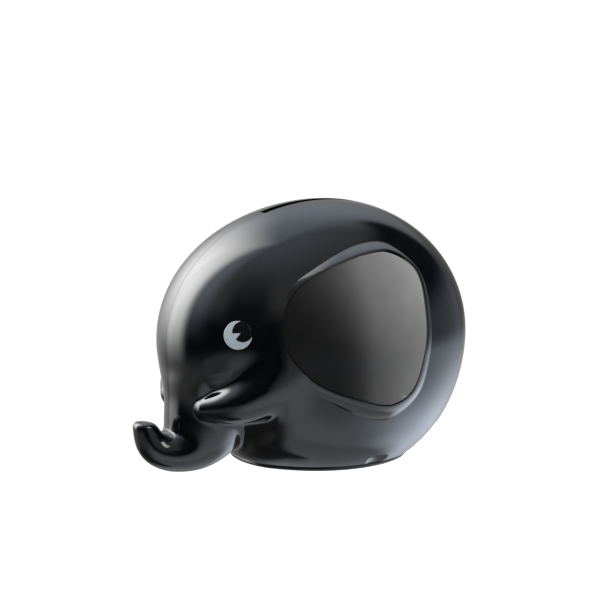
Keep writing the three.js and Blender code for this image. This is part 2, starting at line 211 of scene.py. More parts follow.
class Tube:
    """The field of a ball swept along stations x, y, z, radius, radius across."""

    def __init__(self, stations, count=100):
        line = smooth_line(stations, count)
        self.centres = line[:, :3].copy()
        self.radii = line[:, 3]
        self.squash = line[:, 3] / line[:, 4]

    def __call__(self, points):
        flat = points.reshape(-1, 3)
        result = np.empty(len(flat))
        for start in range(0, len(flat), AT_ONCE):
            part = flat[start : start + AT_ONCE]
            away = part[:, None, :] - self.centres[None]
            away[..., 1] *= self.squash[None]
            field = np.sqrt((away * away).sum(-1)) - self.radii[None]
            best = np.clip(field.argmin(1), 1, field.shape[1] - 2)
            row = np.arange(len(best))
            before, at, after = field[row, best - 1], field[row, best], field[row, best + 1]
            curve = np.maximum(before - 2 * at + after, 1e-9)
            shift = np.clip((before - after) / (2 * curve), -1, 1)
            lowest = at - (before - after) * shift / 2 + curve * shift**2 / 2
            result[start : start + AT_ONCE] = lowest
        return result.reshape(points.shape[:-1])


trunk_tube = Tube([(x, 0, z, r, across) for x, z, r, across in TRUNK])
trunk_hollow = Tube([
    (x, 0, z, r - WALL, across - WALL) for x, z, r, across in TRUNK[:TRUNK_HOLLOW_END]
])
tusk_tube = Tube([(x, y, z, r, r) for x, y, z, r in TUSK], 50)


def egg(points):
    """Body and head, without trunk."""
    x, y, z = points[..., 0], points[..., 1], points[..., 2]
    squeezed = points.copy()
    squeezed[..., 1] /= 1 + BELLY_FLARE * (np.maximum(BELLY_TOP - z, 0) / BELLY_TOP) ** 2
    unit = np.hypot((x - NECK["centre_x"]) / NECK["radii"][0], y / NECK["radii"][1])
    neck = (unit - 1) * NECK["mean_radius"]
    jaw = JAW["middle"] + (JAW["cheek"] - JAW["middle"]) * smooth_step(np.abs(y), *JAW["sides"])
    chin = smooth_min(neck, jaw - z, NECK["top_blend"])
    body = smooth_max(ellipsoid(squeezed, **BODY), chin, NECK["side_blend"])
    beside = smooth_step(np.abs(y), *FOLD["sides"]) * (1 - smooth_step(z, *FOLD["heights"]))
    width = HEAD_BLEND + (FOLD["blend"] - HEAD_BLEND) * beside
    return smooth_min(body, ellipsoid(points, **HEAD), width)


def ahead_only(field, add):
    """Blends the front parts into a field, only where they can reach."""

    def blended(points):
        flat = points.reshape(-1, 3)
        result = field(flat)
        front = flat[:, 0] < FRONT_END
        result[front] = add(flat[front], result[front])
        return result.reshape(points.shape[:-1])

    return blended


tip_turn = math.radians(TIP["tilt"])
TIP_FACING = np.array([-math.sin(tip_turn), 0, math.cos(tip_turn)])


def trunk_blend(points):
    narrow, wide = TRUNK_BLEND
    return narrow + (wide - narrow) * smooth_step(points[..., 2], *TRUNK_BLEND_RISE)


def add_trunk(points, body):
    beyond = (points - np.array(TIP["through"])) @ TIP_FACING
    near_tip = TIP["from_x"] - points[:, 0]
    above = points[:, 2] - TRUNK_ROOT["top"]
    trunk = smooth_max(trunk_tube(points), above, TRUNK_ROOT["round"])
    trunk = smooth_max(trunk, np.minimum(beyond, near_tip), TIP["round"])
    return smooth_min(body, trunk, trunk_blend(points))


def add_tusk_and_lip(points, body):
    left = points.copy()
    left[:, 1] = -np.abs(points[:, 1])
    crisp, wide = TUSK_BLEND
    width = crisp + (wide - crisp) * smooth_step(points[:, 0], *TUSK_BLEND_FROM)
    whole = smooth_min(body, tusk_tube(left), width)
    return smooth_min(whole, ellipsoid(points, **LIP), LIP_BLEND)


head_and_body = ahead_only(egg, add_trunk)
whole_skin = ahead_only(head_and_body, add_tusk_and_lip)


def skin(points):
    """The outside of the elephant, cut level at the floor."""
    return smooth_max(whole_skin(points), -points[..., 2], FLOOR_EDGE)


def add_trunk_hollow(points, body):
    return smooth_min(body + WALL, trunk_hollow(points), TRUNK_BLEND[0]) - WALL


hollow_body = ahead_only(egg, add_trunk_hollow)


def hollow(points):
    """The space inside the wall."""
    return hollow_body(points) + WALL


def slope(field, points):
    columns = []
    for axis in range(3):
        shift = np.zeros(3)
        shift[axis] = SLOPE_STEP
        columns.append((field(points + shift) - field(points - shift)) / (2 * SLOPE_STEP))
    return np.stack(columns, -1)


def unit(vectors):
    return vectors / np.maximum(np.linalg.norm(vectors, axis=-1, keepdims=True), 1e-12)


# ---------------------------------------------------------------- meshes (mm until finished)
def surface_mesh(field, low, high, cell):
    """Points and quads of a field's zero surface inside a box, drawn onto the surface."""
    counts = [int(round((b - a) / cell)) + 1 for a, b in zip(low, high)]
    axes = [a + cell * np.arange(n) for a, n in zip(low, counts)]
    values = field(np.stack(np.meshgrid(*axes, indexing="ij"), -1))
    cells = np.array(values.shape) - 1
    total = np.zeros((*cells, 3))
    count = np.zeros(cells)
    quads = []
    for axis in range(3):
        first = np.take(values, range(cells[axis]), axis)
        second = np.take(values, range(1, cells[axis] + 1), axis)
        index = np.argwhere((first < 0) != (second < 0))
        a, b = first[tuple(index.T)], second[tuple(index.T)]
        point = index.astype(float)
        point[:, axis] += a / (a - b)
        u, v = [other for other in range(3) if other != axis]
        ring = []
        for du, dv in ((0, 0), (1, 0), (1, 1), (0, 1)):
            place = index.copy()
            place[:, u] -= du
            place[:, v] -= dv
            fits = ((place >= 0) & (place < cells)).all(1)
            np.add.at(total, tuple(place[fits].T), point[fits])
            np.add.at(count, tuple(place[fits].T), 1)
            number = np.ravel_multi_index(tuple(np.clip(place, 0, cells - 1).T), tuple(cells))
            ring.append(np.where(fits, number, -1))
        ring = np.stack(ring, 1)
        turned = (a > 0) != (axis == 1)
        ring[turned] = ring[turned][:, ::-1]
        quads.append(ring[(ring >= 0).all(1)])
    quads = np.concatenate(quads)
    used, quads = np.unique(quads, return_inverse=True)
    points = total.reshape(-1, 3)[used] / count.reshape(-1)[used, None]
    points = np.array(low) + cell * points
    for _ in range(2):
        gradient = slope(field, points)
        step = field(points) / np.maximum((gradient**2).sum(-1), 1e-6)
        points -= np.clip(step, -cell, cell)[:, None] * gradient
    return points, quads.reshape(-1, 4)


def placed(name, data):
    """A new object in the scene."""
    obj = bpy.data.objects.new(name, data)
    bpy.context.scene.collection.objects.link(obj)
    return obj


def solid(name, points, faces):
    mesh = bpy.data.meshes.new(name)
    corners = [tuple(p) for p in np.asarray(points, float)]
    mesh.from_pydata(corners, [], [tuple(map(int, face)) for face in faces])
    mesh.validate()
    return placed(name, mesh)


def face_outwards(obj):
    edit = bmesh.new()
    edit.from_mesh(obj.data)
    bmesh.ops.recalc_face_normals(edit, faces=edit.faces)
    edit.to_mesh(obj.data)
    edit.free()
    return obj


def loft(name, rings):
    """A closed solid through rings of points, with its two ends closed by fans."""
    sides = len(rings[0])
    points = np.concatenate(rings + [rings[0].mean(0)[None], rings[-1].mean(0)[None]])
    faces = []
    for ring in range(len(rings) - 1):
        for side in range(sides):
            after = (side + 1) % sides
            a, b = ring * sides, (ring + 1) * sides
            faces.append((a + side, a + after, b + after, b + side))
    last = (len(rings) - 1) * sides
    start, end = len(points) - 2, len(points) - 1
    for side in range(sides):
        after = (side + 1) % sides
        faces.append((start, after, side))
        faces.append((end, last + side, last + after))
    return face_outwards(solid(name, points, faces))


def combine(target, tool, operation="DIFFERENCE"):
    """Cuts the tool from the target, or joins it, and removes the tool."""
    modifier = target.modifiers.new("combine", "BOOLEAN")
    modifier.operation = operation
    modifier.solver = "MANIFOLD"
    modifier.object = tool
    graph = bpy.context.evaluated_depsgraph_get()
    result = bpy.data.meshes.new_from_object(target.evaluated_get(graph))
    target.modifiers.clear()
    old = target.data
    target.data = result
    bpy.data.meshes.remove(old)
    tool_mesh = tool.data
    bpy.data.objects.remove(tool)
    bpy.data.meshes.remove(tool_mesh)


def merge(name, objects):
    """One object that holds several separate closed meshes."""
    edit = bmesh.new()
    for obj in objects:
        edit.from_mesh(obj.data)
    mesh = bpy.data.meshes.new(name)
    edit.to_mesh(mesh)
    edit.free()
    for obj in objects:
        old = obj.data
        bpy.data.objects.remove(obj)
        bpy.data.meshes.remove(old)
    return placed(name, mesh)


def ring_frame(axis):
    """Two directions across an axis."""
    axis = unit(np.array(axis, float))
    side = np.array([1.0, 0, 0]) if abs(axis[0]) < 0.7 else np.array([0, 1.0, 0])
    first = unit(np.cross(axis, side))
    return axis, first, np.cross(axis, first)


def turned_rod(name, start, axis, profile, sides):
    """A rod turned about an axis from its start; the profile is (distance along, radius) pairs."""
    axis, first, second = ring_frame(axis)
    angle = np.linspace(0, 2 * np.pi, sides, endpoint=False)[:, None]
    rim = np.cos(angle) * first + np.sin(angle) * second
    start = np.array(start)
    return loft(name, [start + axis * along + rim * radius for along, radius in profile])


def block(name, low, high):
    """A box, as a cutter."""
    edit = bmesh.new()
    bmesh.ops.create_cube(edit, size=1)
    for vertex in edit.verts:
        for axis in range(3):
            share = vertex.co[axis] + 0.5
            vertex.co[axis] = low[axis] + (high[axis] - low[axis]) * share
    mesh = bpy.data.meshes.new(name)
    edit.to_mesh(mesh)
    edit.free()
    return placed(name, mesh)


# ---------------------------------------------------------------- ear
EAR_SIDES = 200
EAR_ANGLES = np.linspace(0, 2 * np.pi, EAR_SIDES, endpoint=False)
PEG_SIDES = 24


def outline_radii(outline, steps=24):
    """Distance from the ear's centre to a smooth closed outline, at each ear angle."""
    points = np.array(outline, float)
    n = len(points)
    dense = []
    for i in range(n):
        p0, p1, p2, p3 = (points[(i + k) % n] for k in (-1, 0, 1, 2))
        gaps = [np.linalg.norm(b - a) ** 0.5 for a, b in ((p0, p1), (p1, p2), (p2, p3))]
        t0, t1 = 0, gaps[0]
        t2 = t1 + gaps[1]
        t3 = t2 + gaps[2]
        t = np.linspace(t1, t2, steps, endpoint=False)[:, None]
        a1 = (t1 - t) / (t1 - t0) * p0 + (t - t0) / (t1 - t0) * p1
        a2 = (t2 - t) / (t2 - t1) * p1 + (t - t1) / (t2 - t1) * p2
        a3 = (t3 - t) / (t3 - t2) * p2 + (t - t2) / (t3 - t2) * p3
        b1 = (t2 - t) / (t2 - t0) * a1 + (t - t0) / (t2 - t0) * a2
        b2 = (t3 - t) / (t3 - t1) * a2 + (t - t1) / (t3 - t1) * a3
        dense.append((t2 - t) / (t2 - t1) * b1 + (t - t1) / (t2 - t1) * b2)
    away = np.concatenate(dense) - np.array(EAR_CENTRE)
    angle = np.arctan2(away[:, 1], away[:, 0])
    order = np.argsort(angle)
    return np.interp(EAR_ANGLES, angle[order], np.hypot(*away.T)[order], period=2 * np.pi)


panel_radii = outline_radii(PANEL_OUTLINE)
lobe_radii = outline_radii(LOBE_OUTLINE)


def side_surface(x, z, height):
    """The y of the left skin, raised by a height, over points of the side view."""
    inside, outside = np.zeros_like(x), np.full_like(x, -FAR / 2)
    for _ in range(BISECTIONS):
        y = (inside + outside) / 2
        deeper = head_and_body(np.stack([x, y, z], -1)) < height
        inside, outside = np.where(deeper, y, inside), np.where(deeper, outside, y)
    return (inside + outside) / 2


def lobe_top(x):
    """Height of the raised lobe over the skin: it comes out of the head at its front."""
    return (LOBE_HEIGHT + LOBE_SINK) * smooth_step(x, *LOBE_FRONT) - LOBE_SINK


def ear_ring(radii, share=1.0, drop=0.0):
    """A ring round the ear: a share of the lobe's height, less a drop."""
    x = EAR_CENTRE[0] + radii * np.cos(EAR_ANGLES)
    z = EAR_CENTRE[1] + radii * np.sin(EAR_ANGLES)
    height = lobe_top(x)
    height = np.where(height > 0, height * share, height) - drop
    return np.stack([x, side_surface(x, z, height), z], -1)


def ear_disc(radii, drop):
    """Rings from the ear's middle out to its edge."""
    return [ear_ring(radii * share, 1, drop) for share in (0.02, *np.linspace(0.08, 0.98, 16))]


def ear_lobe():
    edge = panel_radii + PANEL_GAP + LOBE_RIM
    width = np.maximum(lobe_radii - edge, LOBE_LEAST_WIDTH)
    rings = ear_disc(edge, 0)
    rings.append(ear_ring(edge - PANEL_GAP))
    for share in np.linspace(0, 1, 13):
        rings.append(ear_ring(edge + width * share, 1 - share**LOBE_FALL))
    for drop in (LOBE_ROOT / 3, LOBE_ROOT):
        rings.append(ear_ring(edge + width * 1.01, 0, drop))
    for share in np.linspace(0.95, 0.05, 12):
        rings.append(ear_ring((edge + width) * share, 0, LOBE_ROOT))
    return loft("lobe", rings)


def ear_pocket():
    edge = panel_radii + PANEL_GAP
    floor_drop = PANEL_SUNK + PANEL_THICKNESS + PANEL_GAP
    rings = ear_disc(edge, floor_drop)
    rings += [ear_ring(edge, 1, drop) for drop in (floor_drop, 0, -CUT_ABOVE)]
    rings += ear_disc(edge, -CUT_ABOVE)[::-1]
    return loft("pocket", rings)


def ear_plate():
    rings = ear_disc(panel_radii - PANEL_EDGE, PANEL_SUNK)
    for angle in np.linspace(0, 90, 7):
        turn = math.radians(angle)
        inwards = PANEL_EDGE * (1 - math.sin(turn))
        lower = PANEL_EDGE * (1 - math.cos(turn))
        rings.append(ear_ring(panel_radii - inwards, 1, PANEL_SUNK + lower))
    rings.append(ear_ring(panel_radii, 1, PANEL_SUNK + PANEL_THICKNESS))
    rings += ear_disc(panel_radii, PANEL_SUNK + PANEL_THICKNESS)[::-1]
    return loft("plate", rings)


def ear_peg(x, z):
    """A fixing peg through the shell, with its melted head inside."""
    place = np.array([float(x)]), np.array([float(z)])
    outer = side_surface(*place, lobe_top(x) - PANEL_SUNK - PEG_ROOT * PANEL_THICKNESS)[0]
    wall = side_surface(*place, -WALL)[0] - outer
    profile = [(0, PEG_RADIUS)] + [(wall + along, radius) for along, radius in PEG_HEAD]
    return turned_rod("peg", (x, outer, z), (0, 1, 0), profile, PEG_SIDES)


def peg_hole(x, z):
    radius = PEG_RADIUS + PEG_GAP
    outside, length = PEG_HOLE
    return turned_rod("hole", (x, -outside, z), (0, 1, 0), ((0, radius), (length, radius)), PEG_SIDES)


# ---------------------------------------------------------------- eye
eye_y = side_surface(np.array([float(EYE["x"])]), np.array([EYE["z"]]), 0)[0]
EYE_CENTRE = np.array([EYE["x"], eye_y, EYE["z"]])
EYE_NORMAL = unit(slope(head_and_body, EYE_CENTRE[None]))[0]
EYE_RIGHT = unit(np.cross([0, 0, 1.0], EYE_NORMAL))
EYE_UP = np.cross(EYE_NORMAL, EYE_RIGHT)


def on_eye(plane, height):
    """Points over the eye, from places in its plane, at a height over the skin."""
    points = EYE_CENTRE + plane[:, :1] * EYE_RIGHT + plane[:, 1:] * EYE_UP
    for _ in range(6):
        points = points - (head_and_body(points) - height)[:, None] * EYE_NORMAL
    return points


def eye_stack(name, outline, middle, size):
    """A thin inlay that follows the skin, with a rounded edge; outline is in the eye's plane."""
    top, bottom, edge = size["proud"], -size["depth"], size["edge"]
    outline, middle = np.array(outline), np.array(middle)
    away = outline - middle
    reach = np.linalg.norm(away, axis=1, keepdims=True)
    inward = away / reach
    rings = [on_eye(middle + away * share, top) for share in np.linspace(0.05, 0.9, 10)]
    for angle in np.linspace(0, 90, 6):
        turn = math.radians(angle)
        back = edge * (1 - math.sin(turn))
        rings.append(on_eye(outline - inward * back, top - edge * (1 - math.cos(turn))))
    rings.append(on_eye(outline, bottom))
    rings.append(on_eye(middle + away * 0.05, bottom))
    return loft(name, rings)


def circle(radius, sides):
    angle = np.linspace(0, 2 * np.pi, sides, endpoint=False)
    return radius * np.stack([np.cos(angle), np.sin(angle)], -1)


def pupil_outline(margin):
    """A round pupil kept inside the eye's rim, with a wedge cut into its lower front."""
    centre = np.array([PUPIL["right"], PUPIL["up"]])
    tip = centre + np.array(PUPIL["notch"])
    low, high = (math.radians(a) for a in PUPIL["notch_edges"])
    radius = PUPIL["radius"] + margin
    hits = []
    for angle in (low, high):
        way = np.array([math.cos(angle), math.sin(angle)])
        offset = tip - centre
        along = -(offset @ way) + math.sqrt((offset @ way) ** 2 - offset @ offset + radius**2)
        hit = tip + way * along - centre
        hits.append(math.atan2(hit[1], hit[0]) % (2 * math.pi))
    start, stop = hits[1], hits[0] + 2 * math.pi
    angle = np.linspace(start, stop, 90)
    arc = centre + radius * np.stack([np.cos(angle), np.sin(angle)], -1)
    share = np.linspace(0, 1, 10)[1:, None]
    rim_low = arc[-1] + (tip - arc[-1]) * share
    rim_high = tip + (arc[0] - tip) * share[:-1]
    outline = np.concatenate([arc, rim_low, rim_high])
    reach = np.linalg.norm(outline, axis=1, keepdims=True)
    return outline * np.minimum(1, (EYE["radius"] + margin - PUPIL["rim"]) / reach)


# ---------------------------------------------------------------- shells
def seam_point(degrees, inset):
    """The point of the seam in a direction from the middle, an inset deep in the skin."""
    way = np.array([math.cos(math.radians(degrees)), 0, math.sin(math.radians(degrees))])
    near, far = 0.0, FAR
    for _ in range(BISECTIONS):
        reach = (near + far) / 2
        point = np.array(BODY_MIDDLE) + way * reach
        near, far = (reach, far) if egg(point[None])[0] < -inset else (near, reach)
    return point


PIN_PLACES = [seam_point(degrees, PIN_INSET)[[0, 2]] for degrees in PIN_ANGLES]


def seam_core(inset, reach):
    """All that lies deeper than an inset below the egg's outline, out to a reach past the middle."""
    ring = np.array([seam_point(degrees, inset) for degrees in range(0, 360, 3)])
    return loft("seam_core", [ring + np.array([0, y, 0]) for y in (PIN_ROOT, reach)])


def coin_slot():
    """The slot through the crest: a stack of long rectangles with rounded corners."""
    corner = SLOT["corner"]
    half_length, half_width = SLOT["length"] / 2, SLOT["width"] / 2
    rings = []
    for height in SLOT["heights"]:
        ring = []
        for cx, cy, turn in ((1, 1, 0), (-1, 1, 90), (-1, -1, 180), (1, -1, 270)):
            for step in range(5):
                angle = math.radians(turn + step * 22.5)
                ring.append((
                    SLOT["centre_x"] + cx * (half_length - corner) + corner * math.cos(angle),
                    cy * (half_width - corner) + corner * math.sin(angle),
                    height,
                ))
        rings.append(np.array(ring))
    return loft("slot", rings)


def shell_blank():
    """The left half of the skin, a little past the middle."""

    def half(points):
        return np.maximum(skin(points), points[..., 1] - SKIN_PAST_MIDDLE)

    return solid("shell", *surface_mesh(half, *SKIN_BOX, SKIN_CELL))


def left_shell():
    """The left half with all that both halves share, still a little past the middle."""
    shell = shell_blank()
    combine(shell, ear_lobe(), "UNION")
    combine(shell, solid("hollow", *surface_mesh(hollow, *HOLLOW_BOX, HOLLOW_CELL)))
    combine(shell, ear_pocket())
    seat = circle(EYE["radius"] + EYE["gap"], 72)
    seat_floor = -EYE["depth"] - EYE_SEAT_GAP
    combine(shell, loft("eye_seat", [on_eye(seat, height) for height in (seat_floor, CUT_ABOVE)]))
    combine(shell, coin_slot())
    combine(shell, merge("holes", [peg_hole(x, z) for x, z in PEGS]))
    combine(shell, block("foot", (SHELL_FOOT_FRONT, -FAR, -FAR), (FAR, FAR, SHELL_FOOT)))
    bosses = [
        turned_rod("boss", (x, BOSS_ROOT, z), (0, -1, 0), BOSS_PROFILE, 24) for x, z in PIN_PLACES
    ]
    combine(shell, merge("bosses", bosses), "UNION")
    return shell


def mirrored(obj, name):
    mesh = obj.data.copy()
    mesh.transform(Matrix.Scale(-1, 4, Vector((0, 1, 0))))
    mesh.flip_normals()
    return placed(name, mesh)


def pry_notch():
    """A lens-shaped scoop in the rim, for the edge of a coin."""
    rings = []
    for share in np.linspace(-1, 1, 17):
        swell = math.sqrt(max(1 - share**2, 0.0004))
        across = circle(swell, 32)
        rings.append(np.column_stack([np.full(32, share), across]) * NOTCH["radii"] + NOTCH["centre"])
    return loft("notch", rings)


def values_of(items, name, width=1, kind=np.float32):
    """One property of every vertex, corner or face of a mesh."""
    values = np.zeros(len(items) * width, kind)
    items.foreach_get(name, values)
    return values.reshape(-1, width).astype(float) if width > 1 else values


def exact_normals(mesh, field):
    """The mesh's corner normals, from the field's slope on faces that lie on its zero surface."""
    normals = values_of(mesh.corner_normals, "vector", 3)
    points = values_of(mesh.vertices, "co", 3)
    to_left = np.array([1, -1 if points[:, 1].mean() > 0 else 1, 1])
    left = points * to_left
    on_skin = np.abs(field(left)) < ON_SKIN
    exact = np.zeros_like(points)
    exact[on_skin] = unit(slope(field, left[on_skin])) * to_left
    corner_vertex = values_of(mesh.loops, "vertex_index", kind=np.int32)
    sizes = values_of(mesh.polygons, "loop_total", kind=np.int32)
    starts = values_of(mesh.polygons, "loop_start", kind=np.int32)
    face_on = np.logical_and.reduceat(on_skin[corner_vertex], starts)
    corner_face = np.repeat(np.arange(len(sizes)), sizes)
    face_normal = values_of(mesh.polygons, "normal", 3)
    agree = (face_normal[corner_face] * exact[corner_vertex]).sum(-1) > SAME_WAY
    use = face_on[corner_face] & agree
    normals[use] = exact[corner_vertex[use]]
    return unit(normals)


def finish_mesh(obj, sharp_degrees, field=None):
    """Smooth shading, with the field's exact normals on the skin, then millimetres to metres."""
    mesh = obj.data
    edit = bmesh.new()
    edit.from_mesh(mesh)
    bmesh.ops.remove_doubles(edit, verts=edit.verts, dist=1e-4)
    bmesh.ops.dissolve_degenerate(edit, edges=edit.edges, dist=1e-4)
    edit.to_mesh(mesh)
    edit.free()
    mesh.shade_smooth()
    mesh.set_sharp_from_angle(angle=math.radians(sharp_degrees))
    if field is not None:
        mesh.normals_split_custom_set([tuple(n) for n in exact_normals(mesh, field)])
    mesh.transform(Matrix.Scale(MM, 4))
    return obj


# ---------------------------------------------------------------- base cover
def cover_radius(angle):
    """How far the cover's edge, which lines up with the skin, is from the body's axis."""
    near, far = np.zeros_like(angle), np.full_like(angle, FAR / 2)
    height = np.full_like(angle, COVER["plate"] / 2)
    for _ in range(BISECTIONS):
        reach = (near + far) / 2
        x = BODY["centre"][0] + reach * np.cos(angle)
        inside = egg(np.stack([x, reach * np.sin(angle), height], -1)) < 0
        near, far = np.where(inside, reach, near), np.where(inside, far, reach)
    return near


def base_cover():
    """The plate and its ribbed skirt, as one section drawn round the body's axis."""
    angle = np.linspace(0, 2 * np.pi, COVER["sides"], endpoint=False)
    plate = cover_radius(angle)
    rx, ry = COVER["skirt_radii"]
    skirt = 1 / np.hypot(np.cos(angle) / rx, np.sin(angle) / ry)
    inner = skirt - COVER["skirt_wall"]
    wave = np.maximum(np.cos(angle * COVER["ribs"] + np.pi), 0)
    ribbed = skirt + wave ** RIB["narrowness"] * RIB["proud"]
    top, crown = COVER["plate"], COVER["skirt_top"]
    # The underside, hollowed a little inside a flat foot.
    section = [(plate * share, 0.8) for share in (0.02, 0.3, 0.6, 0.78)]
    section += [(plate * 0.8, 0.75), (plate * 0.81, 0.2), (plate * 0.82, 0)]
    # The plate's rounded edge.
    section += [(plate - 0.6, 0), (plate - 0.25, 0.1), (plate - 0.05, 0.35), (plate, 0.7)]
    section += [(plate, top - 0.35), (plate - 0.1, top - 0.1), (plate - 0.35, top)]
    # The skirt: up its outside with the ribs, over its crown and down its inside.
    section += [(skirt + 0.5, top), (ribbed + 0.1, top + 0.3), (ribbed, top + 0.8)]
    section += [(ribbed, crown - 1.4), (skirt, crown - 0.6), (skirt - 0.4, crown)]
    section += [(inner + 0.4, crown), (inner, crown - 0.4), (inner, top + 0.6), (inner - 0.6, top)]
    section += [(inner * share, top) for share in (0.9, 0.5, 0.1)]
    rings = []
    for radii, height in section:
        x = BODY["centre"][0] + radii * np.cos(angle)
        rings.append(np.stack([x, radii * np.sin(angle), np.full_like(angle, height)], -1))
    return loft("cover", rings)


# ---------------------------------------------------------------- materials
class Nodes:
    """A short way to write a node tree: each call adds a node and gives back its result."""

    def __init__(self, tree):
        self.tree = tree

    def add(self, kind, inputs=None, **settings):
        node = self.tree.nodes.new(kind)
        for key, value in settings.items():
            setattr(node, key, value)
        for key, value in (inputs or {}).items():
            if isinstance(value, bpy.types.NodeSocket):
                self.tree.links.new(value, node.inputs[key])
            else:
                node.inputs[key].default_value = value
        return node

    def math(self, operation, *values):
        node = self.add("ShaderNodeMath", dict(enumerate(values)), operation=operation)
        return node.outputs[0]

    def ramp(self, value, low, high, to_low=0.0, to_high=1.0):
        ends = {"From Min": low, "From Max": high, "To Min": to_low, "To Max": to_high}
        node = self.add("ShaderNodeMapRange", {"Value": value, **ends}, interpolation_type="SMOOTHSTEP")
        return node.outputs["Result"]

    def noise(self, vector, scale, detail, roughness):
        inputs = {"Vector": vector, "Scale": scale, "Detail": detail, "Roughness": roughness}
        return self.add("ShaderNodeTexNoise", inputs).outputs["Fac"]

    def mix_colour(self, factor, first, second):
        # Sockets 6, 7 and output 2 are the node's colours; the others are for numbers and vectors.
        node = self.add("ShaderNodeMix", data_type="RGBA")
        for index, value in ((0, factor), (6, first), (7, second)):
            if isinstance(value, bpy.types.NodeSocket):
                self.tree.links.new(value, node.inputs[index])
            else:
                node.inputs[index].default_value = value
        return node.outputs[2]


# Noise: scale per metre, detail and roughness.
BROAD = (28, 3, 0.5)
SMUDGE = (160, 5, 0.62)
GRAIN = (3, 0.6)  # detail and roughness; its scale is each plastic's own
TONE_MIX = (0.6, 0.4)  # shares of broad and smudge in the tone
TONE_RANGE = (0.35, 0.65)
SMUDGE_RANGE = (0.3, 0.72)
WEAR = {"pointiness": (0.52, 0.62), "paler": 3, "amount": 0.35, "roughness": 0.08}

# Each plastic: its darkest and lightest tone, lowest and highest roughness, grain (scale per
# metre, strength, depth in metres) and specular level.
PLASTICS = {
    "gloss_shell": {
        "tones": ((0.0014, 0.0017, 0.0023), (0.0026, 0.003, 0.004)),
        "rough": (0.05, 0.085), "grain": (900, 0.05, 0.0002), "specular": 0.5,
    },
    "matt_ear": {
        "tones": ((0.007, 0.007, 0.007), (0.0085, 0.0085, 0.0085)),
        "rough": (0.4, 0.48), "grain": (2600, 0.15, 0.0002), "specular": 0.085,
    },
    "eye_white": {
        "tones": ((0.40, 0.46, 0.50), (0.45, 0.51, 0.55)),
        "rough": (0.28, 0.36), "grain": (1400, 0.06, 0.0001), "specular": 0.5,
    },
    "eye_pupil": {
        "tones": ((0.003, 0.003, 0.0033), (0.005, 0.005, 0.0055)),
        "rough": (0.2, 0.28), "grain": (1400, 0.06, 0.0001), "specular": 0.5,
    },
    "base_cover": {
        "tones": ((0.004, 0.0046, 0.0055), (0.007, 0.0078, 0.009)),
        "rough": (0.12, 0.18), "grain": (1800, 0.1, 0.0001), "specular": 0.5,
    },
}


def plastic(name, tones, rough, grain, specular):
    """A moulded plastic: tone, gloss and grain vary by noise at several scales, edges are worn."""
    material = bpy.data.materials.new(name)
    material.use_nodes = True
    n = Nodes(material.node_tree)
    shader = material.node_tree.nodes["Principled BSDF"]
    place = n.add("ShaderNodeTexCoord").outputs["Object"]
    broad = n.noise(place, *BROAD)
    smudge = n.noise(place, *SMUDGE)
    grain_scale, grain_strength, grain_depth = grain
    height = n.noise(place, grain_scale, *GRAIN)
    pointiness = n.add("ShaderNodeNewGeometry").outputs["Pointiness"]
    wear = n.ramp(pointiness, *WEAR["pointiness"])
    broad_share, smudge_share = TONE_MIX
    broad_part = n.math("MULTIPLY", broad, broad_share)
    tone = n.math("ADD", broad_part, n.math("MULTIPLY", smudge, smudge_share))
    dark, light = tones
    pale = [min(channel * WEAR["paler"], 1) for channel in light]
    colour = n.mix_colour(n.ramp(tone, *TONE_RANGE), (*dark, 1), (*light, 1))
    worn = n.mix_colour(n.math("MULTIPLY", wear, WEAR["amount"]), colour, (*pale, 1))
    n.tree.links.new(worn, shader.inputs["Base Color"])
    gloss = n.ramp(smudge, *SMUDGE_RANGE, *rough)
    gloss = n.math("ADD", gloss, n.math("MULTIPLY", wear, WEAR["roughness"]))
    n.tree.links.new(gloss, shader.inputs["Roughness"])
    bump = {"Height": height, "Strength": grain_strength, "Distance": grain_depth}
    relief = n.add("ShaderNodeBump", bump).outputs["Normal"]
    n.tree.links.new(relief, shader.inputs["Normal"])
    shader.inputs["IOR"].default_value = 1.5
    shader.inputs["Specular IOR Level"].default_value = specular
    return material


plastics = {name: plastic(name, **look) for name, look in PLASTICS.items()}


def dress(obj, node, body, slot):
    """Names a finished piece, paints it and hangs it on its CAD body in place of its node."""
    obj.name = f"{node}_skin"
    obj.data.name = obj.name
    obj.data.materials.clear()
    obj.data.materials.append(plastics[slot])
    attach(obj, body)
    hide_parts(node)


# ---------------------------------------------------------------- assembly
SHARP_SHELL, SHARP = 30, 40  # degrees from which an edge is sharp: on the shells, elsewhere

shell_left = left_shell()
shell_right = mirrored(shell_left, "shell_right")
step_depth, step_reach, step_gap = SEAM_STEP["depth"], SEAM_STEP["reach"], SEAM_STEP["gap"]
combine(shell_right, block("other_side", (-FAR, -FAR, -FAR), (FAR, SEAM, FAR)))
combine(shell_right, seam_core(step_depth - step_gap, step_reach + step_gap))
other_side = block("other_side", (-FAR, -SEAM, -FAR), (FAR, FAR, FAR))
combine(other_side, seam_core(step_depth, step_reach))
combine(shell_left, other_side)
combine(shell_left, pry_notch())
for shell, profile, operation in (
    (shell_left, PIN_PROFILE, "UNION"),
    (shell_right, SOCKET_PROFILE, "DIFFERENCE"),
):
    rods = [turned_rod("pin", (x, PIN_ROOT, z), (0, 1, 0), profile, 20) for x, z in PIN_PLACES]
    combine(shell, merge("pins", rods), operation)

